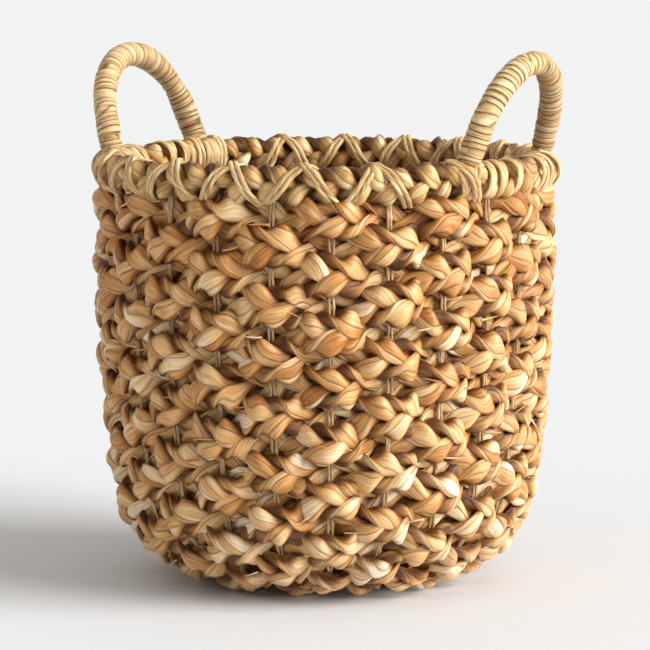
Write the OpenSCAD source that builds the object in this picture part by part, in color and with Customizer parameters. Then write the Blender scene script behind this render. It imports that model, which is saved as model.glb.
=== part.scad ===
// Round storage basket of plaited seagrass with two wrapped handles.
// Plaits run round the basket, over and under pairs of upright cords (the stakes).
// Origin: middle of the base, on the floor. +Z is up, the handles stand at +X and -X.

/* [Body] */
// Diameter at the belly, over the bulges of the weave
body_d = 435; // [370:1:540]
// Height of the lashed rim above the floor
body_h = 402.6; // [350:0.1:500]
// Outer radius of the rounded edge between base and wall
corner_r = 101; // [80:1:125]
// Height at which the belly is widest
belly_h = 296; // [250:1:330]
// Radius of the long curve of the wall, seen from the side
wall_curve_r = 1395; // [1000:5:2000]

/* [Weave] */
// Thickness of a plait
plait_t = 15; // [11:0.5:18]
// Gap left between one row of plait and the next
row_gap = 0.6; // [0.5:0.1:2]
// Diameter of one stake cord, two of which lie side by side
stake_d = 2.8; // [2:0.1:4]
// Length along which a plait lies flat against a stake pair
flat_len = 10; // [8:0.5:12]
// Radius of the small wound disc at the middle of the base
hub_r = 29; // [26:0.5:34]
// Thickness of that disc
hub_t = 13; // [8:0.5:14]
// Depth to which the stakes are tucked into the disc
tuck = 10; // [6:0.5:12]

/* [Rim] */
// Diameter of the rim plait under its lashing
rim_plait_d = 29; // [24:0.5:34]
// Diameter of the wire hoop inside the rim
hoop_d = 6; // [5:0.5:8]
// Width of the doubled lashing cord
lash_w = 6.6; // [5:0.1:7]
// Thickness of the lashing cord
lash_t = 3; // [2:0.1:4]
// Angle round the rim from one dip of the lashing to the next
lash_step = 18; // [16:1:19]

/* [Handles] */
// Height of the handle's centre line above the hoop, along its lean
handle_rise = 107; // [95:1:135]
// Radius of the handle's arch, at its centre line
arch_r = 72.5; // [60:0.5:85]
// Angle by which each leg closes in towards the arch
leg_tilt = 11.5; // [4:0.5:16]
// Angle by which the handle leans outwards
handle_lean = 17.6; // [0:0.1:25]
// Diameter of the wrapped handle
wrap_d = 23; // [18:0.5:28]
// Diameter of the wire core of the handle
core_d = 5; // [4:0.5:5]

/* [Hidden] */
fit_gap = 0.1;         // clearance round a piece that sits in a hole
touch_gap = 0.5;       // clearance between a plait and the stakes it crosses
lash_gap = 0.8;        // clearance between a lashing cord and the stakes it passes
stake_pairs = 24;      // pairs that reach the rim; every other one starts at the disc
stake_step = 360 / stake_pairs;
base_rows = 3;         // rows of plait on the flat of the base
wall_rows = 16;        // rows from the rounded edge up to the rim
all_rows = base_rows + wall_rows;
band_rings = 12;       // rings of a lashing for one turn round the rim
ring_facets = 96;      // facets of anything turned about the basket's axis
round_facets = 48;     // facets of a round section
arch_facets = 180;     // facets of a full turn of the handle's arch
lash_flat = lash_w * 0.3;  // half width of the flat top of a lashing cord
plait_colour = "peru";
cord_colour = "burlywood";

// Weave depths: stakes lie on the middle surface, plaits swing to either side of it
swing = stake_d / 2 + touch_gap + plait_t / 2;
skin = swing + plait_t / 2;
pair_half = stake_d + touch_gap / 2;

// Side outline of the middle surface: flat base, corner arc, long wall arc
edge_r = corner_r - skin;
long_r = wall_curve_r - skin;
edge_z = corner_r;
long_x = body_d / 2 - wall_curve_r;
join_a = asin((belly_h - edge_z) / (wall_curve_r - corner_r));
edge_x = long_x + (wall_curve_r - corner_r) * cos(join_a);
edge_len = edge_r * (90 - join_a) * PI / 180;

// Rim: hoop, plait round it and lashing round the plait, all about one circle
lash_steep = atan(lash_step * body_d / 2 / (180 * (rim_plait_d + lash_t)));
lash_lead = atan(2 * lash_flat * sin(lash_steep) / rim_plait_d);
lash_in = rim_plait_d / 2 / cos(180 / band_rings + lash_lead) + fit_gap;
lash_out = lash_in + lash_t;
rim_z = body_h - lash_out;
rim_r = long_x + sqrt(long_r * long_r - pow(rim_z - belly_h, 2));
low_r = long_x + sqrt(long_r * long_r - pow(rim_z - rim_plait_d / 2 - belly_h, 2));
slot_t = stake_d + 2 * fit_gap + low_r - rim_r;

// Rows share the length between the disc and the underside of the rim
top_a = asin((rim_z - lash_out - fit_gap - belly_h) / long_r);
top_s = edge_x + edge_len + long_r * (join_a + top_a) * PI / 180;
row_pitch = (top_s - hub_r) / all_rows;
plait_h = row_pitch - row_gap;

// Lashing: its slope across the rim, and the angle it keeps from a stake pair
lash_slope = atan(lash_step * rim_r / (360 * (lash_in + lash_t / 2)));
lash_half = lash_w / 2 / cos(lash_slope) + stake_d / 2 * tan(lash_slope) + pair_half + lash_gap;
keep_off = lash_half / rim_r * 180 / PI;
edge_steps = 12;       // rings of a stake round the edge
wall_steps = 8;        // rings of a stake up the wall
stake_end = edge_x + edge_len
    + long_r * (join_a + asin((rim_z - hoop_d / 2 - fit_gap - belly_h) / long_r)) * PI / 180;
lash_turns = 6;        // turns from the first dip of a lashing to its last
lash_first = -148;     // angle of the first dip of the front lashing

// Handle: arch centre above the hoop, leg ends, and the plane they stand in
arch_z = handle_rise - arch_r;
leg_top = arch_z + arch_r * sin(leg_tilt);
leg_len = leg_top / cos(leg_tilt);
arch_lap = 1;          // length by which a leg runs on into the arch
foot_y = arch_r * cos(leg_tilt) + leg_top * tan(leg_tilt);
foot_x = sqrt(rim_r * rim_r - foot_y * foot_y);
leg_az = atan2(foot_y, foot_x);
leg_skew = cos(leg_tilt) * sin(handle_lean) * sin(leg_az) + sin(leg_tilt) * cos(leg_az);
function leg_low(clear, d) = (clear + fit_gap + d / 2 * leg_skew) / sqrt(1 - leg_skew * leg_skew);
tie_spread = 4.6;      // angle from a handle leg to either bar of its tie
tie_rings = 6;         // rings of a tie over half a turn round the rim
tie_tail = 190;        // angle round the rim from a tie's lowest point to its end

function two(n) = str(n < 10 ? "0" : "", n);

// Angle of the outline at a length s measured along it from the middle of the base
function outline_a(s) =
    s < edge_x ? -90
    : s < edge_x + edge_len ? -90 + (s - edge_x) / edge_r * 180 / PI
    : -join_a + (s - edge_x - edge_len) / long_r * 180 / PI;

// Point of the middle surface at that length, as [radius, height]
function outline_p(s) =
    let (a = outline_a(s))
    s < edge_x ? [s, skin]
    : s < edge_x + edge_len ? [edge_x + edge_r * cos(a), edge_z + edge_r * sin(a)]
    : [long_x + long_r * cos(a), belly_h + long_r * sin(a)];

// Six-sided section of a plait, as [depth, height]
plait_section = [
    [plait_t / 2, -plait_h / 4], [plait_t / 2, plait_h / 4], [0, plait_h / 2],
    [-plait_t / 2, plait_h / 4], [-plait_t / 2, -plait_h / 4], [0, -plait_h / 2]
];

// Section of the doubled lashing cord, as [width, height]
lash_section = [
    [lash_w / 2, 0], [lash_flat, lash_t / 2], [-lash_flat, lash_t / 2],
    [-lash_w / 2, 0], [-lash_flat, -lash_t / 2], [lash_flat, -lash_t / 2]
];

// Turns a list of rings, each with the same number of points, into one closed solid
module skin_rings(rings, closed) {
    n = len(rings[0]);
    m = len(rings);
    points = [for (ring = rings) each ring];
    last = closed ? m - 1 : m - 2;
    sides = [
        for (i = [0 : last], j = [0 : n - 1], half = [0, 1])
            let (a = i * n, b = (i + 1) % m * n, k = (j + 1) % n)
            half == 0 ? [a + j, a + k, b + k] : [a + j, b + k, b + j]
    ];
    ends = closed ? [] : [[for (j = [n - 1 : -1 : 0]) j], [for (j = [0 : n - 1]) (m - 1) * n + j]];
    polyhedron(points = points, faces = concat(sides, ends), convexity = 10);
}

// Radius to which the outline bends beside a row, and the share of its height that
// a plait keeps at depth w, since rows crowd together on the inner side of a bend
function bend_r(s) = s - plait_h < edge_x + edge_len ? edge_r : long_r;
function crowd(s, w) = 1 + min(0, w) / bend_r(s);

// Ring of a plait at angle az, moved out from the middle surface by depth w
function plait_ring(s, az, w) =
    let (a = outline_a(s), p = outline_p(s))
    [for (q = plait_section)
        let (h = q[1] * crowd(s, w), r = p[0] + (w + q[0]) * cos(a) - h * sin(a))
        [r * cos(az), r * sin(az), p[1] + (w + q[0]) * sin(a) + h * cos(a)]];

// One closed row of plait that passes outside and inside of the crossings in turn
module plait_row(s, crossings, first_az, half_flat, flat_steps, turn_steps, parity) {
    step = 360 / crossings;
    turn = step - 2 * half_flat;
    stations = [
        for (c = [0 : crossings - 1])
            let (az = first_az + c * step, w = (c + parity) % 2 == 0 ? swing : -swing)
            each concat(
                [for (j = [0 : flat_steps]) [az - half_flat + 2 * half_flat * j / flat_steps, w]],
                [for (j = [1 : 1 : turn_steps - 1])
                    [az + half_flat + turn * j / turn_steps, w - 2 * w * j / turn_steps]]
            )
    ];
    skin_rings([for (t = stations) plait_ring(s, t[0], t[1])], true);
}

// Length along the outline of a row's middle, counted from the base disc outwards
function row_s(r) = hub_r + (r - 0.5) * row_pitch + row_gap / 2;
// Angle that half of the flat stretch covers in that row
function flat_a(r) = flat_len / 2 / outline_p(row_s(r))[0] * 180 / PI;

// First base row: takes the inner stakes two pairs at a time
// Other base rows: take them one pair at a time
module base_row(r) {
    color(plait_colour)
        if (r == 1)
            plait_row(row_s(r), stake_pairs / 4, 2 * stake_step, stake_step + flat_a(r),
                flat_steps = 4, turn_steps = 2, parity = r);
        else
            plait_row(row_s(r), stake_pairs / 2, stake_step, flat_a(r),
                flat_steps = 1, turn_steps = 2, parity = r);
}

// Wall rows cross every stake pair, each row opposite to the ones beside it
module wall_row(r) {
    color(plait_colour)
        plait_row(row_s(base_rows + r), stake_pairs, 0, flat_a(base_rows + r),
            flat_steps = 1, turn_steps = 1, parity = r);
}

// Ring about the rim's circle
module rim_ring(d) {
    translate([0, 0, rim_z])
        rotate_extrude($fn = ring_facets)
            translate([rim_r, 0])
                circle(d = d, $fn = round_facets);
}

// Odd pairs are tucked into the disc, even pairs start beside the last base row
function stake_s(i) = i % 2 == 1 ? hub_r - tuck : hub_r + base_rows * row_pitch + row_gap;

// Lengths along the outline at which a stake pair gets a ring
function stake_stops(s) = concat(
    s < edge_x ? [s] : [],
    [for (i = [0 : edge_steps]) let (t = edge_x + edge_len * i / edge_steps) if (t > s) t],
    [for (i = [1 : wall_steps]) edge_x + edge_len + (stake_end - edge_x - edge_len) * i / wall_steps]
);

// Two cords laid side by side, from the base round the edge and up to the hoop
module stake_pair(i) {
    az = i * stake_step;
    stops = stake_stops(stake_s(i));
    wide = stake_d + touch_gap / 2;
    color(cord_colour)
        skin_rings([
            for (s = stops)
                let (a = outline_a(s), p = outline_p(s))
                [for (q = [[1, wide], [-1, wide], [-1, -wide], [1, -wide]])
                    let (r = p[0] + q[0] * stake_d / 2 * cos(a))
                    [
                        r * cos(az) - q[1] * sin(az),
                        r * sin(az) + q[1] * cos(az),
                        p[1] + q[0] * stake_d / 2 * sin(a)
                    ]]
        ], false);
}

// Straight slot for a stake pair, along +X
module stake_slot(long) {
    translate([0, -pair_half - fit_gap, -stake_d / 2 - fit_gap])
        cube([long, 2 * (pair_half + fit_gap), stake_d + 2 * fit_gap]);
}

// Wound disc at the middle of the base, with a socket for each tucked stake
module base_disc() {
    bead = hub_t / 2;
    color(plait_colour)
        difference() {
            translate([0, 0, skin])
                rotate_extrude($fn = ring_facets)
                    union() {
                        translate([0, -bead])
                            square([hub_r - bead, hub_t]);
                        translate([hub_r - bead, 0])
                            intersection() {
                                circle(r = bead, $fn = round_facets);
                                translate([0, -bead])
                                    square([bead, hub_t]);
                            }
                    }
            for (i = [1 : 2 : stake_pairs])
                rotate([0, 0, i * stake_step])
                    translate([hub_r - tuck - fit_gap, 0, skin])
                        stake_slot(tuck + bead);
        }
}

// Wire hoop that keeps the rim round
module rim_hoop() {
    color("dimgray")
        rim_ring(hoop_d);
}

// Fat plait over the hoop, with holes for the stakes and the handle cores
module rim_plait() {
    color(plait_colour)
        difference() {
            rim_ring(rim_plait_d);
            rim_ring(hoop_d + 2 * fit_gap);
            for (i = [1 : stake_pairs])
                rotate([0, 0, i * stake_step])
                    translate([rim_r - stake_d / 2 - fit_gap, -pair_half - fit_gap, rim_z - rim_plait_d])
                        cube([slot_t, 2 * (pair_half + fit_gap), rim_plait_d]);
            for (side = [0, 180])
                handle_place(side)
                    handle_rod(core_d + 2 * fit_gap, 0);
        }
}

// Angle moved clear of the nearest stake pair
function clear_az(az) =
    let (near = round(az / stake_step) * stake_step, d = az - near)
    abs(d) < keep_off ? near + (d < 0 ? -keep_off : keep_off) : az;

// Point on the rim's tube at angle az round the basket and angle a round the tube
function tube_p(az, a, r) =
    [(rim_r + r * cos(a)) * cos(az), (rim_r + r * cos(a)) * sin(az), rim_z + r * sin(a)];
function unit(v) = v / norm(v);

// Band laid on the rim plait through a list of [angle round basket, angle round tube]
module rim_band(path) {
    mid = lash_in + lash_t / 2;
    last = len(path) - 1;
    rings = [
        for (i = [0 : last])
            let (
                here = tube_p(path[i][0], path[i][1], mid),
                up = unit(here - tube_p(path[i][0], path[i][1], 0)),
                before = path[max(i - 1, 0)],
                after = path[min(i + 1, last)],
                along = unit(tube_p(after[0], after[1], mid) - tube_p(before[0], before[1], mid)),
                across = unit(cross(along, up))
            )
            [for (q = lash_section) here + q[0] * across + q[1] * up]
    ];
    skin_rings(rings, false);
}

// Path of a lashing: dips sit at the underside, moved clear of the stakes
function lash_az(first, dir, turn) =
    let (
        dip = round(turn),
        plain = first + dir * lash_step * dip,
        near = max(0, 1 - 4 * abs(turn - dip))
    )
    first + dir * lash_step * turn + (clear_az(plain) - plain) * near;

// Lashing cord worked once in each direction, so that it crosses on top of the rim
module rim_lashing(first) {
    steps = lash_turns * band_rings;
    color(cord_colour)
        for (dir = [1, -1]) {
            start = dir > 0 ? first : first + lash_turns * lash_step;
            rim_band([
                for (i = [0 : steps])
                    let (turn = i / band_rings)
                    [lash_az(start, dir, turn), -90 - 360 * turn]
            ]);
        }
}

// Tie that crosses in front of a handle leg and holds it down on the rim; it runs
// straight under the rim for one ring to either side, to stay clear of the stakes
module handle_tie(az) {
    color(cord_colour)
        for (dir = [1, -1]) {
            top = az - dir * tie_spread;
            end = az + dir * tie_spread;
            low = clear_az(end);
            rim_band(concat(
                [for (i = [0 : tie_rings])
                    [top + (low - top) * min(1, i / (tie_rings - 1)), 90 - 180 * i / tie_rings]],
                [for (i = [1 : tie_rings])
                    [low + (end - low) * (i - 1) / (tie_rings - 1), -90 - tie_tail * i / tie_rings]]
            ));
        }
}

// Puts a flat shape into the leaning plane of a handle
module handle_place(side) {
    rotate([0, 0, side])
        translate([foot_x, 0, rim_z])
            rotate([0, handle_lean, 0])
                rotate([90, 0, 90])
                    children();
}

// Bent rod in the handle's plane: an arch, and two slightly thinner legs that run into it
module handle_rod(d, low) {
    for (side = [0, 1])
        mirror([side, 0, 0])
            translate([foot_y, 0, 0])
                rotate([-90, 0, leg_tilt])
                    translate([0, 0, low])
                        cylinder(d = d - 2 * fit_gap, h = leg_len + arch_lap - low, $fn = round_facets);
    translate([0, arch_z, 0])
        rotate([0, 0, leg_tilt])
            rotate_extrude(angle = 180 - 2 * leg_tilt, $fn = arch_facets)
                translate([arch_r, 0])
                    circle(d = d, $fn = round_facets);
}

// Wire core, its legs standing on the hoop
module handle_core(side) {
    color("dimgray")
        handle_place(side)
            handle_rod(core_d, leg_low(hoop_d / 2, core_d));
}

// Wound strips over the core, down to the lashed rim
module handle_wrap(side) {
    color("wheat")
        handle_place(side)
            difference() {
                handle_rod(wrap_d, leg_low(lash_out, wrap_d));
                handle_rod(core_d + 4 * fit_gap, 0);
            }
}

base_disc();
for (r = [1 : base_rows])
    base_row(r);
for (r = [1 : wall_rows])
    wall_row(r);
for (i = [1 : stake_pairs])
    stake_pair(i);
rim_hoop();
rim_plait();
rim_lashing(lash_first);  // rim_lashing_front
rim_lashing(lash_first + 180);  // rim_lashing_back
handle_core(0);  // handle_core_right
handle_core(180);  // handle_core_left
handle_wrap(0);  // handle_wrap_right
handle_wrap(180);  // handle_wrap_left
handle_tie(-leg_az);  // handle_tie_right_front
handle_tie(leg_az);  // handle_tie_right_back
handle_tie(180 + leg_az);  // handle_tie_left_front
handle_tie(180 - leg_az);  // handle_tie_left_back
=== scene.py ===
import math
import bmesh
import bpy
import numpy as np
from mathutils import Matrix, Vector


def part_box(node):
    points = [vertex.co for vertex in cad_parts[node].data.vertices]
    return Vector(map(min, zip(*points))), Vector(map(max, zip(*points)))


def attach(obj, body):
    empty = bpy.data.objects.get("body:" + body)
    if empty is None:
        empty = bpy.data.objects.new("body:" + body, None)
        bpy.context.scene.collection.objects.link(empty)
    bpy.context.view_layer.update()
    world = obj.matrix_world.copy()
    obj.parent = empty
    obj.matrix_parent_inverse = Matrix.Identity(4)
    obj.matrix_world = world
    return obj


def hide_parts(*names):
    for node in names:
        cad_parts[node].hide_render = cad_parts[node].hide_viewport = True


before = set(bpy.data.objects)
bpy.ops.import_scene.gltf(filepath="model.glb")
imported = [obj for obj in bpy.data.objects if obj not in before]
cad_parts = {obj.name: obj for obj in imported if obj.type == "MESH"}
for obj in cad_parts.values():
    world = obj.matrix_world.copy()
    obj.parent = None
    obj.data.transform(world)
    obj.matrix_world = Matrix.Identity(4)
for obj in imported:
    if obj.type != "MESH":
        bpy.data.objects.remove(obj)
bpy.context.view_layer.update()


# ---------------------------------------------------------------- rows of plait
# Each row is a plait of three strands, and each strand is a bundle of folded seagrass leaves.
# A row passes outside of one stake pair and inside of the next, and squeezes flat between them.
# The rows are worked round a form with a flat base, a rounded edge and a wall with a belly.
corner_r = 0.101
wall_curve_r = 1.395
belly_z = 0.296
base_rows = 3
wall_rows = 16
all_rows = base_rows + wall_rows
stake_pairs = 24
stake_step = 2 * math.pi / stake_pairs

disc_low, disc_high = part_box("base_disc")
disc_r = disc_high[0]
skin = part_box("base_row_02")[1][2] / 2
body_r = max(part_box(f"wall_row_{row:02d}")[1][0] for row in range(1, wall_rows + 1))
top_row_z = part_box(f"wall_row_{wall_rows:02d}")[1][2]

edge_r = corner_r - skin
long_r = wall_curve_r - skin
long_x = body_r - wall_curve_r
join_a = math.asin((belly_z - corner_r) / (wall_curve_r - corner_r))
edge_x = long_x + (wall_curve_r - corner_r) * math.cos(join_a)
edge_len = edge_r * (math.pi / 2 - join_a)
top_a = math.asin((top_row_z - belly_z) / long_r)
top_s = edge_x + edge_len + long_r * (join_a + top_a)
row_pitch = (top_s - disc_r) / all_rows


def outline(s):
    """Radius, height and outward angle of the middle surface at lengths s from the middle."""
    s = np.asarray(s, dtype=float)
    a_edge = -np.pi / 2 + (s - edge_x) / edge_r
    a_wall = -join_a + (s - edge_x - edge_len) / long_r
    flat = s < edge_x
    edge = ~flat & (s < edge_x + edge_len)
    a = np.where(flat, -np.pi / 2, np.where(edge, a_edge, a_wall))
    r = np.where(flat, s, np.where(edge, edge_x + edge_r * np.cos(a), long_x + long_r * np.cos(a)))
    z = np.where(flat, skin, np.where(edge, corner_r + edge_r * np.sin(a), belly_z + long_r * np.sin(a)))
    return r, z, a


def row_middle(row):
    """Length along the outline to a row's middle, rows counted from the base disc."""
    return disc_r + (row - 0.5) * row_pitch


# Dried seagrass is a satin leaf: long fine streaks and straw to red-brown tones that change
# from leaf to leaf. Shade is painted in as dark brown in the folds where the leaves of one strand
# press together and in the valleys between strands, and a painted highlight makes their tops paler.
def link(tree, out, into):
    tree.links.new(out, into)


def add_node(tree, kind, **settings):
    node = tree.nodes.new(kind)
    for name, value in settings.items():
        setattr(node, name, value)
    return node


def math_node(tree, operation, first, second=None, clamp=False):
    node = add_node(tree, "ShaderNodeMath", operation=operation, use_clamp=clamp)
    for socket, value in zip(node.inputs, (first, second)):
        if isinstance(value, (int, float)):
            socket.default_value = value
        elif value is not None:
            link(tree, value, socket)
    return node.outputs[0]


def times(tree, value, factor):
    return math_node(tree, "MULTIPLY", value, factor)


def plus(tree, value, other):
    return math_node(tree, "ADD", value, other)


def less(tree, value, other, clamp=False):
    return math_node(tree, "SUBTRACT", value, other, clamp)


def make_leaf_group():
    """Masks that run along a strand: its UV is metres along and leaf number across."""
    streaks_per_metre = 26.0
    streaks_per_leaf = 9.0
    veins_per_leaf = 34.0
    stains_per_metre = 70.0
    stains_per_leaf = 1.6
    leaf_apart = 7.31
    crease_sharp = 11.0
    group = bpy.data.node_groups.new("leaf_surface", "ShaderNodeTree")
    face = group.interface
    for name, usual in (("Streak size", 1.0), ("Crease depth", 1.0), ("Tone length", 14.0)):
        face.new_socket(name, in_out="INPUT", socket_type="NodeSocketFloat").default_value = usual
    for name in ("Tone", "Streak", "Crease", "Height", "Blotch", "Relief"):
        face.new_socket(name, in_out="OUTPUT", socket_type="NodeSocketFloat")
    given = add_node(group, "NodeGroupInput")
    out = add_node(group, "NodeGroupOutput")
    uv = add_node(group, "ShaderNodeUVMap", uv_map="strand")
    parts = add_node(group, "ShaderNodeSeparateXYZ")
    link(group, uv.outputs[0], parts.inputs[0])
    along, across = parts.outputs[0], parts.outputs[1]
    leaf = math_node(group, "FLOOR", across)
    inside = math_node(group, "FRACT", across)

    def noise(x, y, detail, rough=0.5):
        place = add_node(group, "ShaderNodeCombineXYZ")
        link(group, x, place.inputs[0])
        link(group, y, place.inputs[1])
        grain = add_node(group, "ShaderNodeTexNoise", noise_dimensions="2D")
        grain.inputs["Scale"].default_value = 1.0
        grain.inputs["Detail"].default_value = detail
        grain.inputs["Roughness"].default_value = rough
        link(group, place.outputs[0], grain.inputs["Vector"])
        return grain.outputs["Fac"]

    tone_x = times(group, along, given.outputs["Tone length"])
    tone = noise(tone_x, times(group, leaf, leaf_apart), 1.5, 0.6)
    streak_x = times(group, along, streaks_per_metre)
    streak_y = times(group, across, given.outputs["Streak size"])
    streak = noise(streak_x, times(group, streak_y, streaks_per_leaf), 4.0, 0.62)
    vein = noise(streak_x, times(group, streak_y, veins_per_leaf), 2.0)
    blotch = noise(times(group, along, stains_per_metre), times(group, across, stains_per_leaf), 3.0)
    from_fold = math_node(group, "PINGPONG", inside, 0.5)
    crease = less(group, 1.0, times(group, from_fold, crease_sharp), clamp=True)
    crease = times(group, crease, given.outputs["Crease depth"])
    height = plus(group, times(group, streak, 0.55), times(group, vein, 0.45))
    height = less(group, height, crease)
    relief = add_node(group, "ShaderNodeAttribute", attribute_name="relief").outputs["Fac"]
    for name, value in (("Tone", tone), ("Streak", streak), ("Crease", crease),
                        ("Height", height), ("Blotch", blotch), ("Relief", relief)):
        link(group, value, out.inputs[name])
    return group


leaf_group = make_leaf_group()
# dark brown of the painted shade in the valleys between strands and in the leaf folds
painted_shade_brown = (0.062, 0.016, 0.002, 1)
stain_brown = (0.62, 0.42, 0.26, 1)
sheen_tint = (1.0, 0.94, 0.86, 1)


def leaf_material(name, tones, streak_size=1.0, crease=1.0, tone_length=14.0, gloss=0.33,
                  bump=0.0006, browner_upwards=0.0, tone_spread=0.66, painted_crown_highlight=0.0):
    """Dried leaf; tones are (place, colour) stops from dark to pale.

    browner_upwards is how much browner each metre of height makes it, and painted_crown_highlight
    is how much paler the tops of the strands are painted than the valleys between them: a painted
    highlight.
    """
    streak_spread = 0.32
    usual_relief = 0.62
    browner_from_z = 0.2
    stain_strength = 2.2
    valley_painted_shade = 0.86
    crease_painted_shade = 0.55
    made = bpy.data.materials.new(name)
    made.use_nodes = True
    tree = made.node_tree
    shader = tree.nodes["Principled BSDF"]
    leaf = add_node(tree, "ShaderNodeGroup")
    leaf.node_tree = leaf_group
    leaf.inputs["Streak size"].default_value = streak_size
    leaf.inputs["Crease depth"].default_value = crease
    leaf.inputs["Tone length"].default_value = tone_length

    ramp = add_node(tree, "ShaderNodeValToRGB")
    stops = ramp.color_ramp.elements
    for stop, (place, colour) in zip(stops, (tones[0], tones[-1])):
        stop.position = place
        stop.color = (*colour, 1)
    for place, colour in tones[1:-1]:
        stops.new(place).color = (*colour, 1)
    tone = plus(tree, times(tree, leaf.outputs["Tone"], tone_spread),
                times(tree, leaf.outputs["Streak"], streak_spread))
    centred = 0.5 * (1 - streak_spread - tone_spread) - usual_relief * painted_crown_highlight
    tone = plus(tree, tone, centred)
    # Painted highlight: the tops of the strands (high relief) are made paler and their valleys darker.
    tone = plus(tree, tone, times(tree, leaf.outputs["Relief"], painted_crown_highlight))
    place = add_node(tree, "ShaderNodeSeparateXYZ")
    link(tree, add_node(tree, "ShaderNodeTexCoord").outputs["Object"], place.inputs[0])
    # the tone gets browner with height above 0.2 m and paler below it
    tone = plus(tree, tone, times(tree, less(tree, browner_from_z, place.outputs["Z"]), browner_upwards))
    link(tree, tone, ramp.inputs[0])

    stained = add_node(tree, "ShaderNodeMix", data_type="RGBA", blend_type="MULTIPLY")
    stain = times(tree, less(tree, leaf.outputs["Blotch"], 0.5, clamp=True), stain_strength)
    link(tree, stain, stained.inputs["Factor"])
    link(tree, ramp.outputs[0], stained.inputs["A"])
    stained.inputs["B"].default_value = stain_brown
    # Painted shade: the valleys between strands (low relief) and the folds between leaves are mixed towards
    # a dark brown.
    painted_shade_mix = add_node(tree, "ShaderNodeMix", data_type="RGBA")
    valley = times(tree, less(tree, 1.0, leaf.outputs["Relief"]), valley_painted_shade)
    line = times(tree, leaf.outputs["Crease"], crease_painted_shade)
    link(tree, math_node(tree, "MAXIMUM", valley, line), painted_shade_mix.inputs["Factor"])
    link(tree, stained.outputs["Result"], painted_shade_mix.inputs["A"])
    painted_shade_mix.inputs["B"].default_value = painted_shade_brown
    link(tree, painted_shade_mix.outputs["Result"], shader.inputs["Base Color"])

    rough = plus(tree, times(tree, leaf.outputs["Streak"], 0.3), gloss - 0.15)
    link(tree, rough, shader.inputs["Roughness"])
    shader.inputs["Specular IOR Level"].default_value = 0.4
    shader.inputs["Specular Tint"].default_value = sheen_tint
    grain = add_node(tree, "ShaderNodeBump")
    grain.inputs["Strength"].default_value = 0.8
    grain.inputs["Distance"].default_value = bump
    link(tree, leaf.outputs["Height"], grain.inputs["Height"])
    link(tree, grain.outputs[0], shader.inputs["Normal"])
    return made


plait_tones = (
    (0.30, (0.155, 0.040, 0.005)),
    (0.40, (0.365, 0.125, 0.020)),
    (0.50, (0.590, 0.285, 0.085)),
    (0.60, (0.790, 0.505, 0.235)),
    (0.70, (0.940, 0.800, 0.590)),
)
plait_leaf = leaf_material("seagrass_plait", plait_tones, browner_upwards=0.18, tone_spread=0.48, painted_crown_highlight=0.145)


def make_tubes(name, tubes, material):
    """One mesh of several tubes. Each tube is its places in rings and, for each place, its
    length along, leaf number and relief."""
    weld = 2e-6
    bm = bmesh.new()
    for places, marks in tubes:
        rings, sides = places.shape[:2]
        bmesh.ops.create_grid(bm, x_segments=sides - 1, y_segments=rings - 1, size=1.0)
    mesh = bpy.data.meshes.new(name)
    bm.to_mesh(mesh)
    bm.free()
    places = np.concatenate([places.reshape(-1, 3) for places, marks in tubes])
    marks = np.concatenate([marks.reshape(-1, 3) for places, marks in tubes])
    mesh.vertices.foreach_set("co", places.ravel())
    corner = np.zeros(len(mesh.loops), dtype=np.int64)
    mesh.loops.foreach_get("vertex_index", corner)
    mesh.uv_layers.new(name="strand").data.foreach_set("uv", marks[corner, :2].ravel())
    mesh.attributes.new("relief", "FLOAT", "POINT").data.foreach_set("value", marks[:, 2].copy())
    bm = bmesh.new()
    bm.from_mesh(mesh)
    bmesh.ops.remove_doubles(bm, verts=bm.verts, dist=weld)
    bmesh.ops.recalc_face_normals(bm, faces=bm.faces)
    bm.to_mesh(mesh)
    bm.free()
    mesh.shade_smooth()
    mesh.materials.append(material)
    piece = bpy.data.objects.new(name, mesh)
    bpy.context.scene.collection.objects.link(piece)
    return piece


def wander(chance, angle, waves, size):
    """Smooth random line round a closed loop, made of whole waves."""
    total = np.zeros_like(angle)
    for k in range(1, waves + 1):
        total += chance.normal() * np.cos(k * angle + chance.uniform(0, 2 * np.pi))
    return size * total / math.sqrt(waves / 2)


leaf_uneven = 0.30
lay_uneven = 0.10
spread_uneven = 0.08
depth_uneven = 0.0006
tilt_uneven = 0.12
size_uneven = 0.10
narrow_size = 0.74
wide_size = 0.38
edge_shape = 0.10
valley_from = 0.15
valley_span = 0.6
strand_apart = 3.7


def leaf_section(chance, turn, around, leaves, depth, waves):
    """Radius factor and leaf number round a strand: rounded leaves with sharp folds between."""
    drift = wander(chance, turn, waves, leaf_uneven)[:, None] + chance.uniform(0, 1)
    uneven = leaf_uneven * np.sin(around[None, :] + wander(chance, turn, waves, 1.0)[:, None])
    number = leaves * around[None, :] / (2 * np.pi) + drift + uneven
    fold = 1 - np.abs(np.sin(np.pi * number))
    return 1 - depth * fold ** 3, number


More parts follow.
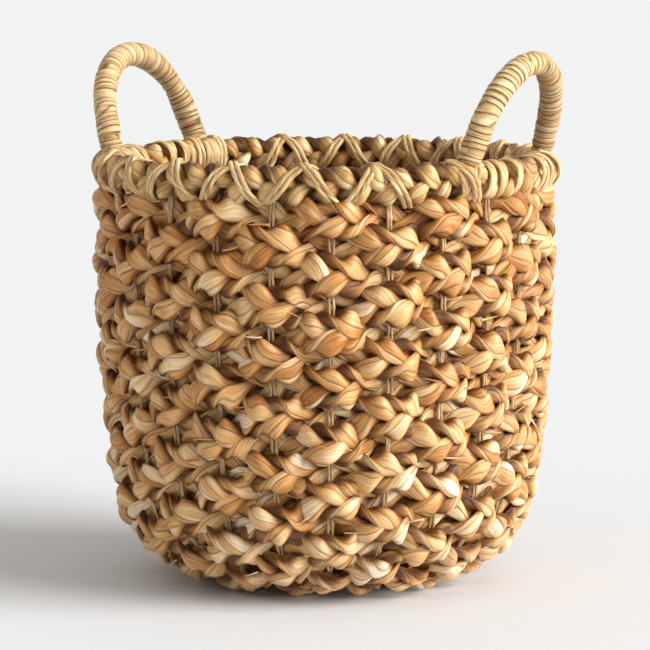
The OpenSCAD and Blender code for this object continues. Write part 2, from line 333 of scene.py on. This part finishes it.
def plait_tubes(chance, place, periods, half_high, half_deep, wide, thick, leaves, depth,
                first_mark, steps, seam):
    """Three strands of a closed plait; place(turn, depth, height) puts points in space."""
    tubes = []
    turn = seam + np.linspace(0, 2 * np.pi, periods * steps + 1)
    around = np.linspace(0, 2 * np.pi, plait_sides + 1)
    shift = chance.uniform(0, 2 * np.pi)
    waves = max(3, periods * 2)
    for strand in range(3):
        phase = periods * turn + 2 * np.pi * strand / 3 + shift
        phase = phase + wander(chance, turn, waves, lay_uneven)
        over = np.sin(2 * phase)
        high = half_high * (np.sin(phase) + edge_shape * np.sin(3 * phase))
        high = high * (1 + wander(chance, turn, waves, spread_uneven))
        deep = -half_deep * over + wander(chance, turn, waves, depth_uneven)
        # a strand rolls over at the plait's edges, so that its flat side stays outwards
        roll = np.tanh(2 * np.cos(phase)) / math.tanh(2)
        tilt = -np.pi / 2 * (1 - roll) + wander(chance, turn, waves, tilt_uneven)
        size = (narrow_size + wide_size * np.abs(over)) * (1 + wander(chance, turn, waves, size_uneven))
        fold, number = leaf_section(chance, turn, around, leaves, depth, waves)
        p = wide * size[:, None] * fold * np.cos(around)[None, :]
        q = thick * fold * np.sin(around)[None, :] * (1 + wander(chance, turn, waves, size_uneven))[:, None]
        v = high[:, None] + p * np.cos(tilt)[:, None] + q * np.sin(tilt)[:, None]
        u = deep[:, None] - p * np.sin(tilt)[:, None] + q * np.cos(tilt)[:, None]
        places = place(turn[:, None] + 0 * u, u, v)
        places[-1] = places[0]
        places[:, -1] = places[:, 0]
        along = np.repeat(np.linspace(0, 1, len(turn))[:, None], plait_sides + 1, 1)
        radius = np.linalg.norm(places[..., :2], axis=-1).mean()
        # relief is how far a point stands out of the plait; the material paints shade where it is low, in
        # the valleys between strands, and a highlight where it is high
        relief = np.clip((np.abs(u) / (half_deep + thick) - valley_from) / valley_span, 0, 1)
        length = first_mark + strand * strand_apart + along * 2 * np.pi * radius
        tubes.append((places, np.stack([length, number, relief], -1)))
    return tubes


plait_period = 0.105
plait_steps = 36
plait_sides = 28
weave_swing = 0.0083
weave_inward = 0.0016
row_wave = 0.0012
row_shift = 0.0003
bow_sharp = 1.4
row_height = 1.04
crossing_height = 0.10
outside_height = 0.05
row_depth = 0.94
outside_depth = 0.12
floor_press = 0.1
floor_clear = 0.0004


def plait_row(node, row, crossings, first, parity):
    """A row that weaves through the given number of crossings, the first at angle first."""
    chance = np.random.default_rng(100 + row)
    side = 1 if parity % 2 == 0 else -1
    r0, z0, a0 = (float(value) for value in outline(row_middle(row)))
    periods = max(2, round(2 * np.pi * r0 / plait_period))
    lean = wander(chance, np.zeros(1), 3, row_shift)[0]
    wave_phase = chance.uniform(0, 2 * np.pi, 2)[0]

    def place(turn, u, v):
        swing = np.cos((turn - first) * crossings / 2)
        bow = np.tanh(bow_sharp * swing) / math.tanh(bow_sharp)
        full = row_height + crossing_height * (1 - bow * bow) + outside_height * side * bow
        v = v * full + row_wave * np.sin(2 * turn + wave_phase) + lean
        u = u * (row_depth + outside_depth * side * bow) + weave_swing * side * bow - weave_inward
        r = r0 + u * np.cos(a0) - v * np.sin(a0)
        z = z0 + u * np.sin(a0) + v * np.cos(a0)
        z = np.maximum(z, floor_press * z + floor_clear)
        return np.stack([r * np.cos(turn), r * np.sin(turn), z], -1)

    tubes = plait_tubes(chance, place, periods, half_high=0.0098, half_deep=0.0036, wide=0.0094,
                        thick=0.0054, leaves=4, depth=0.11, first_mark=11.3 * row,
                        steps=plait_steps, seam=1.2)
    piece = make_tubes(f"{node}_plait", tubes, plait_leaf)
    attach(piece, "root")
    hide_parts(node)


plait_row("base_row_01", 1, stake_pairs // 4, 2 * stake_step, 1)
plait_row("base_row_02", 2, stake_pairs // 2, stake_step, 2)
plait_row("base_row_03", 3, stake_pairs // 2, stake_step, 3)
for number in range(1, wall_rows + 1):
    plait_row(f"wall_row_{number:02d}", base_rows + number, stake_pairs, 0.0, number)


# ---------------------------------------------------------------- stakes
# Upright pairs of thin twisted cord. Every other pair starts in the base disc and the
# rest beside the last base row; all run round the edge and up to the hoop.
hoop_low, hoop_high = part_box("rim_hoop")
hoop_half = (hoop_high[2] - hoop_low[2]) / 2
rim_z = hoop_high[2] - hoop_half
stake_d = 0.0028
stake_tuck = 0.010
stake_inner = disc_r - stake_tuck
stake_outer = disc_r + base_rows * row_pitch
stake_top = top_s + (rim_z - hoop_half - top_row_z)
stake_pace = 0.003
stake_gap = 0.0001
up = np.array([0.0, 0.0, 1.0])
stake_tones = (
    (0.30, (0.330, 0.190, 0.080)),
    (0.50, (0.560, 0.380, 0.185)),
    (0.70, (0.780, 0.600, 0.350)),
)
stake_leaf = leaf_material("stake_cord", stake_tones, streak_size=1.4, crease=0.9, gloss=0.6, bump=0.0003)


def unit(rows):
    return rows / np.linalg.norm(rows, axis=-1, keepdims=True)


def cord_tube(points, ups, radius, sides, pitch, plies, fold, mark, flat=1.0):
    """Twisted cord along points; ups point off the surface it lies on. Ends are closed."""
    size = np.concatenate([[0.0], np.broadcast_to(radius, len(points)), [0.0]])
    points = np.concatenate([points[:1], points, points[-1:]])
    ups = np.concatenate([ups[:1], ups, ups[-1:]])
    steps = np.linalg.norm(np.diff(points, axis=0), axis=1)
    length = np.concatenate([[0.0], np.cumsum(steps)])
    along = np.gradient(points, axis=0)
    along[0], along[-1] = along[1], along[-2]
    along = unit(along)
    across = unit(np.cross(along, ups))
    ups = np.cross(across, along)
    around = np.linspace(0, 2 * np.pi, sides + 1)[None, :]
    number = plies * (around / (2 * np.pi) - (length / pitch)[:, None])
    reach = size[:, None] * (1 - fold * (1 - np.abs(np.sin(np.pi * number))) ** 2)
    reach[:, -1] = reach[:, 0]
    wide = (reach * np.cos(around))[..., None] * across[:, None, :]
    high = (reach * flat * np.sin(around))[..., None] * ups[:, None, :]
    places = points[:, None, :] + wide + high
    places[:, -1] = places[:, 0]
    marks = np.stack([mark + length[:, None] + 0 * number, number, 1 + 0 * number], -1)
    return places, marks


def stake_pair(number):
    node = f"stake_pair_{number:02d}"
    chance = np.random.default_rng(400 + number)
    turn = number * stake_step
    s = np.arange(stake_inner if number % 2 == 1 else stake_outer, stake_top, stake_pace)
    r, z, a = outline(s)
    out = np.array([math.cos(turn), math.sin(turn), 0.0])
    aside = np.array([-math.sin(turn), math.cos(turn), 0.0])
    ups = np.cos(a)[:, None] * out + np.sin(a)[:, None] * up
    middle = r[:, None] * out + z[:, None] * up
    cords = []
    for side in (-1, 1):
        phase = chance.uniform(0, 2 * np.pi, 3)
        wave = 0.0004 * np.sin(s * 62 + phase[0]) + 0.0003 * np.sin(s * 131 + phase[1])
        off = side * (stake_d / 2 + stake_gap) + wave + 0.0006 * np.sin(s * 21 + phase[2])
        cords.append(cord_tube(middle + off[:, None] * aside, ups, stake_d / 2, sides=8, pitch=0.016,
                               plies=2, fold=0.28, mark=0.61 * number + 5.3 * side))
    piece = make_tubes(f"{node}_cords", cords, stake_leaf)
    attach(piece, "root")
    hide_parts(node)


for number in range(1, stake_pairs + 1):
    stake_pair(number)


# ---------------------------------------------------------------- base disc
# Small disc wound from one flat strand of the plait's own leaf, in which the inner
# stakes are tucked.
disc_turns = 4
disc_z = (disc_low[2] + disc_high[2]) / 2
disc_t = disc_high[2] - disc_low[2]
strand_w = disc_r / (disc_turns + 0.6)
wind = np.linspace(0, 2 * np.pi * disc_turns, 260)
wind_r = strand_w * (0.55 + wind / (2 * np.pi))
spiral = np.stack([wind_r * np.cos(wind), wind_r * np.sin(wind), disc_z + 0 * wind], -1)
winding = cord_tube(spiral, np.tile(up, (len(wind), 1)), strand_w * 0.56, sides=20, pitch=0.05,
                    plies=5, fold=0.22, mark=3.1, flat=disc_t / (1.1 * strand_w))
disc_piece = make_tubes("base_disc_winding", [winding], plait_leaf)
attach(disc_piece, "root")
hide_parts("base_disc")


# ---------------------------------------------------------------- rim
# A fatter, paler plait of the same leaf lies over the wire hoop and the stake ends,
# and is lashed down on them.
rim_r = hoop_high[0] - hoop_half
rim_sink = 0.0008
rim_periods = 16
rim_steps = 28
rim_tones = (
    (0.30, (0.220, 0.085, 0.022)),
    (0.40, (0.430, 0.205, 0.062)),
    (0.50, (0.620, 0.355, 0.130)),
    (0.60, (0.780, 0.530, 0.240)),
    (0.70, (0.940, 0.770, 0.490)),
)
rim_leaf = leaf_material("rim_plait_leaf", rim_tones, tone_spread=0.56, painted_crown_highlight=0.14)


def rim_place(turn, u, v):
    r = rim_r + u
    return np.stack([r * np.cos(turn), r * np.sin(turn), rim_z - rim_sink + v], -1)


rim_strands = plait_tubes(np.random.default_rng(31), rim_place, rim_periods, half_high=0.0092,
                          half_deep=0.0062, wide=0.0090, thick=0.0078, leaves=5, depth=0.16,
                          first_mark=50.0, steps=rim_steps, seam=1.3)
rim_piece = make_tubes("rim_plait_strands", rim_strands, rim_leaf)
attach(rim_piece, "root")
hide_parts("rim_plait")


# ---------------------------------------------------------------- rim lashing
# A doubled twisted cord is worked round the rim once in each direction, so it shows
# as a zigzag outside and crosses itself on top. It dips beside the stakes, never on one.
lash_tones = (
    (0.30, (0.400, 0.230, 0.085)),
    (0.50, (0.720, 0.500, 0.230)),
    (0.70, (0.930, 0.760, 0.460)),
)
lash_leaf = leaf_material("lashing_cord", lash_tones, streak_size=1.2, crease=1.0, gloss=0.62, bump=0.0004)
lash_step = math.radians(18)
lash_turns = 6
lash_first = math.radians(-148)
keep_off = math.radians(2.4)
lash_r = 0.0172
lash_cord = 0.0022
cord_apart = 1.05 * lash_cord
lash_dip = 0.0014
lash_over = 0.0026
lash_sway = 0.006
lash_press = 0.0006
turn_steps = 40


def clear_turn(turn):
    """Angle moved clear of the nearest stake pair."""
    near = round(turn / stake_step) * stake_step
    off = turn - near
    return near + math.copysign(keep_off, off) if abs(off) < keep_off else turn


def on_rim(turn, tube, height):
    """Points at angle turn round the basket and angle tube round the rim, with their outward way."""
    way = np.stack([np.cos(tube) * np.cos(turn), np.cos(tube) * np.sin(turn), np.sin(tube)], -1)
    ring = np.stack([rim_r * np.cos(turn), rim_r * np.sin(turn), rim_z + 0 * turn], -1)
    return ring + np.asarray(height)[..., None] * way, way


def doubled_cord(turn, tube, height, mark):
    """Two cords side by side along a path on the rim."""
    points, ways = on_rim(turn, tube, height)
    across = unit(np.cross(np.gradient(points, axis=0), ways))
    return [
        cord_tube(points + side * cord_apart * across, ways, lash_cord, sides=12, pitch=0.034,
                  plies=3, fold=0.13, mark=mark + side, flat=0.85)
        for side in (-1, 1)
    ]


def rim_lashing(node, first, seed):
    chance = np.random.default_rng(seed)
    tubes = []
    for way in (1, -1):
        begin = first if way > 0 else first + lash_turns * lash_step
        laps = np.linspace(0, lash_turns, lash_turns * turn_steps + 1)
        dip = np.round(laps)
        plain = begin + way * lash_step * dip
        moved = np.array([clear_turn(value) - value for value in plain])
        near = np.maximum(0, 1 - 4 * np.abs(laps - dip))
        jitter = lash_sway * np.interp(laps, range(lash_turns + 1), chance.normal(size=lash_turns + 1))
        turn = begin + way * lash_step * laps + moved * near + jitter * (1 - near)
        tube = -np.pi / 2 - 2 * np.pi * laps
        lift = -lash_dip * np.maximum(0, np.sin(tube))
        if way > 0:
            lift = lift + lash_over * np.maximum(0, np.cos(4 * np.pi * laps)) ** 4
        press = lash_press * np.sin(2 * np.pi * laps * 3.1 + chance.uniform(0, 6))
        tubes += doubled_cord(turn, tube, lash_r + lift + press, 2.0 * way + seed)
    piece = make_tubes(f"{node}_cord", tubes, lash_leaf)
    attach(piece, "root")
    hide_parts(node)


rim_lashing("rim_lashing_front", lash_first, 61)
rim_lashing("rim_lashing_back", lash_first + math.pi, 62)


# ---------------------------------------------------------------- handles
# Each handle is a wire arch wound closely with pale strips of leaf that overlap like
# a bandage. It stands on the hoop, leans outwards and is tied down at both feet.
handle_rise = 0.107
arch_r = 0.0725
leg_tilt = math.radians(11.5)
handle_lean = math.radians(17.6)
wrap_r = 0.0115
strip_pitch = 0.0064
strip_lift = 0.0014
strip_under = 0.0016
lap_uneven = 0.34
slant_uneven = 0.42
ridge_height = 0.00016
swell_height = 0.0005
back_leg_dark = 0.28
leg_start = 0.013
foot_round = 0.004
arch_z = handle_rise - arch_r
leg_top = arch_z + arch_r * math.sin(leg_tilt)
foot_y = arch_r * math.cos(leg_tilt) + leg_top * math.tan(leg_tilt)
foot_x = math.sqrt(rim_r ** 2 - foot_y ** 2)
leg_turn = math.atan2(foot_y, foot_x)
leg_len = leg_top / math.cos(leg_tilt) - leg_start
arch_len = arch_r * (math.pi - 2 * leg_tilt)
wrap_sides = 44
wrap_rings = 900
handle_tones = (
    (0.28, (0.400, 0.215, 0.075)),
    (0.42, (0.660, 0.420, 0.180)),
    (0.55, (0.820, 0.600, 0.310)),
    (0.70, (0.940, 0.790, 0.520)),
)
handle_leaf = leaf_material("handle_strip", handle_tones, streak_size=0.8, crease=0.8,
                            tone_length=30.0, gloss=0.42, bump=0.0007)


def handle_line():
    """Evenly spaced centre line in the handle's own plane: length, sideways and up."""
    total = 2 * leg_len + arch_len
    s = np.linspace(0, total, wrap_rings)
    up_leg = s < leg_len
    down_leg = s > leg_len + arch_len
    a = leg_tilt + (s - leg_len) / arch_r
    climb = s + leg_start
    drop = total - s + leg_start
    side = np.where(up_leg, foot_y - climb * math.sin(leg_tilt),
                    np.where(down_leg, -foot_y + drop * math.sin(leg_tilt), arch_r * np.cos(a)))
    high = np.where(up_leg, climb * math.cos(leg_tilt),
                    np.where(down_leg, drop * math.cos(leg_tilt), arch_z + arch_r * np.sin(a)))
    return s, side, high


def along_handle(chance, s, knots, draw):
    """Values drawn at evenly spaced knots and joined along the handle."""
    return np.interp(s, np.linspace(0, s[-1], knots), draw(size=knots))


def handle_wrap(node, sign, seed):
    """Sleeve of wound strips; sign is 1 for the handle at +X and -1 for the one at -X."""
    chance = np.random.default_rng(seed)
    s, side, high = handle_line()
    points = np.stack([sign * (foot_x + high * math.sin(handle_lean)), sign * side,
                       rim_z + high * math.cos(handle_lean)], -1)
    ups = np.tile([sign * math.cos(handle_lean), 0.0, -math.sin(handle_lean)], (len(s), 1))
    along = unit(np.gradient(points, axis=0))
    across = unit(np.cross(along, ups))
    around = np.linspace(0, 2 * np.pi, wrap_sides + 1)

    # the strips' laps are uneven in pitch and slant, and each lies over the last one's edge
    wobble = lap_uneven * along_handle(chance, s, 48, chance.normal)
    slant = slant_uneven * along_handle(chance, s, 26, chance.normal)[:, None]
    slant_way = along_handle(chance, s, 18, lambda size: chance.uniform(0, 2 * np.pi, size))[:, None]
    laps = s / strip_pitch + wobble
    wound = laps[:, None] + around[None, :] / (2 * np.pi)
    number = wound + slant * np.sin(around[None, :] + slant_way)
    strip = np.floor(number).astype(int)
    inside = number - strip
    proud = chance.uniform(0.0, 1.0, strip.max() + 3)[strip + 1]
    ragged = 0.5 + 0.5 * np.sin(around[None, :] * 5 + 37 * proud) * np.sin(around[None, :] * 3 + 11 * proud)
    bulge = (1 - np.abs(2 * inside - 1) ** 5) * (0.55 + 0.45 * inside)
    ridge = ridge_height * np.sin(2 * np.pi * (3 * inside + proud))
    swell = swell_height * along_handle(chance, s, 14, chance.normal)[:, None]
    strip_height = strip_lift * bulge * (0.55 + 0.5 * proud + 0.15 * ragged)
    reach = wrap_r - strip_under + strip_height + ridge + swell
    ends = np.minimum(1, np.minimum(s, s[-1] - s) / foot_round)
    reach = reach * np.sqrt(ends)[:, None]
    reach[:, -1] = reach[:, 0] = (reach[:, -1] + reach[:, 0]) / 2

    wide = (reach * np.cos(around))[..., None] * across[:, None, :]
    places = points[:, None, :] + wide + (reach * np.sin(around))[..., None] * ups[:, None, :]
    places[:, -1] = places[:, 0]
    # the back legs, towards +Y, are darker: their relief is lowered, which mixes in more of the dark brown
    back_leg = np.clip(points[:, 1] / 0.05 + 0.4, 0, 1)[:, None]
    # relief falls at the edges of each strip, where it tucks under the next lap, and the material paints
    # shade there
    relief = np.clip(bulge * 1.3 - 0.1, 0, 1) * (1 - back_leg_dark * back_leg)
    marks = np.stack([seed + 2 * np.pi * wrap_r * wound, number, relief], -1)
    piece = make_tubes(f"{node}_strips", [(places, marks)], handle_leaf)
    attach(piece, "root")
    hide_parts(node)


handle_wrap("handle_wrap_right", 1.0, 71)
handle_wrap("handle_wrap_left", -1.0, 72)


# ---------------------------------------------------------------- handle ties
# A doubled cord crosses over the rim at each foot, one way above the other, and loose
# laps of pale leaf bind the rim beside it. Both go right round the rim.
tie_spread = math.radians(4.6)
tie_over = 0.0010
tie_crossing = 0.0018
strip_laps = (-2, -1, 0, 3, 5, 8)
strip_apart = 0.033
strip_drift = 0.030
strip_sway = 0.018
strip_first = 0.012
strip_uneven = 0.008
strip_step = 0.0004
tie_clear = 0.0004
strip_r = lash_r - 0.0021


def handle_tie(node, middle, seed, inward):
    """Ties of the foot at angle middle; inward is the turn towards the other foot."""
    chance = np.random.default_rng(seed)
    part = np.linspace(0, 1, 26)
    cords = []
    for way in (1, -1):
        top = middle - way * tie_spread
        low = clear_turn(middle + way * tie_spread)
        back = middle + way * tie_spread
        turn = np.concatenate([top + (low - top) * part, low + (back - low) * part[1:]])
        tube = np.concatenate([np.pi / 2 - np.pi * part, -np.pi / 2 - 1.05 * np.pi * part[1:]])
        crossing = np.exp(-((tube - 0.15) / 0.5) ** 2) if way > 0 else 0 * tube
        height = lash_r + tie_clear + way * tie_over + tie_crossing * crossing
        cords += doubled_cord(turn, tube, height, seed + 1.5 * way)
    piece = make_tubes(f"{node}_cord", cords, lash_leaf)
    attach(piece, "root")
    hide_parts(node)

    part = np.linspace(0, 1, 56)
    strips = []
    for lap in strip_laps:
        at = middle + inward * (strip_apart * lap + strip_first + chance.normal() * strip_uneven)
        sway = strip_sway * np.sin(2 * np.pi * part + chance.uniform(0, 6))
        turn = at + sway + strip_drift * inward * part
        height = strip_r + strip_step * (lap % 3) + 0 * turn
        points, ways = on_rim(turn, -np.pi / 2 - 2 * np.pi * part, height)
        strips.append(cord_tube(points, ways, chance.uniform(0.0034, 0.0046), sides=18, pitch=0.09,
                                plies=4, fold=0.14, mark=seed + 3.3 * lap, flat=0.48))
    binding = make_tubes(f"{node}_strips", strips, handle_leaf)
    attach(binding, "root")


handle_tie("handle_tie_right_front", -leg_turn, 81, 1)
handle_tie("handle_tie_right_back", leg_turn, 82, -1)
handle_tie("handle_tie_left_front", math.pi + leg_turn, 83, -1)
handle_tie("handle_tie_left_back", math.pi - leg_turn, 84, 1)


# ---------------------------------------------------------------- stray ends
# Short leaf ends that have sprung out of the plaits here and there, thin and curled.
# They are the plait's own leaf, and the plait holds their other end.
stray_count = 110
stray_off = 0.011


def stray_end(chance, number):
    row = chance.integers(base_rows + 1, all_rows + 1)
    r0, z0, a0 = (float(value) for value in outline(row_middle(row)))
    turn = chance.uniform(0, 2 * np.pi)
    length = chance.uniform(0.012, 0.030)
    part = np.linspace(0, 1, 6)
    lift = stray_off + chance.uniform(0.001, 0.006) * part ** 1.6
    start, slope, curl = (chance.normal(), chance.normal(), chance.normal())
    rise = start * 0.006 + slope * 0.006 * part + curl * 0.003 * part ** 2
    here = turn + chance.choice([-1, 1]) * length * part / r0
    r = r0 + lift * np.cos(a0) - rise * np.sin(a0)
    z = z0 + lift * np.sin(a0) + rise * np.cos(a0)
    points = np.stack([r * np.cos(here), r * np.sin(here), z], -1)
    ups = np.stack([np.cos(a0) * np.cos(here), np.cos(a0) * np.sin(here), np.sin(a0) + 0 * here], -1)
    width = chance.uniform(0.0007, 0.0016) * np.sqrt(1.02 - part)
    return cord_tube(points, ups, width, sides=5, pitch=1.0, plies=1, fold=0.0,
                     mark=200.0 + 0.37 * number, flat=0.35)


stray_chance = np.random.default_rng(91)
stray_ends = [stray_end(stray_chance, number) for number in range(stray_count)]
stray_piece = make_tubes("stray_leaf_ends", stray_ends, plait_leaf)
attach(stray_piece, "root")


# ---------------------------------------------------------------- wire
# Drawn steel wire, dull and out of sight: the hoop in the rim and the arches in the
# handles. The CAD shapes stay and only take this finish.
wire_dark = (0.16, 0.15, 0.14, 1)
wire_pale = (0.34, 0.33, 0.32, 1)


def make_wire_material():
    made = bpy.data.materials.new("wire")
    made.use_nodes = True
    tree = made.node_tree
    shader = tree.nodes["Principled BSDF"]
    shader.inputs["Metallic"].default_value = 1.0
    coords = add_node(tree, "ShaderNodeTexCoord")
    grain = add_node(tree, "ShaderNodeTexNoise")
    grain.inputs["Scale"].default_value = 300.0
    grain.inputs["Detail"].default_value = 3.0
    link(tree, coords.outputs["Object"], grain.inputs["Vector"])
    ramp = add_node(tree, "ShaderNodeValToRGB")
    ramp.color_ramp.elements[0].color = wire_dark
    ramp.color_ramp.elements[1].color = wire_pale
    link(tree, grain.outputs["Fac"], ramp.inputs[0])
    link(tree, ramp.outputs[0], shader.inputs["Base Color"])
    link(tree, plus(tree, times(tree, grain.outputs["Fac"], 0.3), 0.3), shader.inputs["Roughness"])
    return made


wire = make_wire_material()
for node in ("rim_hoop", "handle_core_right", "handle_core_left"):
    for slot in bpy.data.objects[node].material_slots:
        slot.material = wire


# ---------------------------------------------------------------- floor, light, camera
# A pale floor that runs out of sight, one broad soft light low on the right in a white
# room, and a long lens a little above the rim.
floor_half = 60.0
floor_paint = (0.790, 0.808, 0.832, 1)
view_turn = math.radians(28.5)
camera_away = 2.98
camera_z = 0.608
camera_pitch = 0.124
key_width = math.radians(44)
key_strength = 5.0
room_colour = (1.0, 0.965, 0.92, 1)
room_strength = 0.57
toward = Vector((math.sin(view_turn), -math.cos(view_turn), 0))
sideways = Vector((math.cos(view_turn), math.sin(view_turn), 0))
upward = Vector((0, 0, 1))


def make_floor():
    bm = bmesh.new()
    bmesh.ops.create_grid(bm, x_segments=1, y_segments=1, size=floor_half)
    mesh = bpy.data.meshes.new("floor")
    bm.to_mesh(mesh)
    bm.free()
    paint = bpy.data.materials.new("pale_floor")
    paint.use_nodes = True
    shader = paint.node_tree.nodes["Principled BSDF"]
    shader.inputs["Base Color"].default_value = floor_paint
    shader.inputs["Roughness"].default_value = 0.9
    mesh.materials.append(paint)
    floor = bpy.data.objects.new("floor", mesh)
    bpy.context.scene.collection.objects.link(floor)


def make_light():
    lamp = bpy.data.lights.new("key", "SUN")
    lamp.angle = key_width
    lamp.energy = key_strength
    light = bpy.data.objects.new("key", lamp)
    light.location = toward * 0.74 + sideways * 2.0 + upward * 0.80
    light.rotation_euler = (-light.location).to_track_quat("-Z", "Y").to_euler()
    bpy.context.scene.collection.objects.link(light)
    room = bpy.data.worlds.new("studio")
    room.use_nodes = True
    room.node_tree.nodes["Background"].inputs["Color"].default_value = room_colour
    room.node_tree.nodes["Background"].inputs["Strength"].default_value = room_strength
    bpy.context.scene.world = room
    bpy.context.scene.view_settings.view_transform = "Standard"


def make_camera():
    lens = bpy.data.cameras.new("camera")
    lens.lens = 177.3
    lens.sensor_width = 36.0
    lens.clip_end = 200.0
    camera = bpy.data.objects.new("camera", lens)
    bpy.context.scene.collection.objects.link(camera)
    camera.location = toward * camera_away + upward * camera_z
    look = -toward * math.cos(camera_pitch) - upward * math.sin(camera_pitch)
    camera.rotation_euler = look.to_track_quat("-Z", "Y").to_euler()
    bpy.context.scene.camera = camera


make_floor()
make_light()
make_camera()
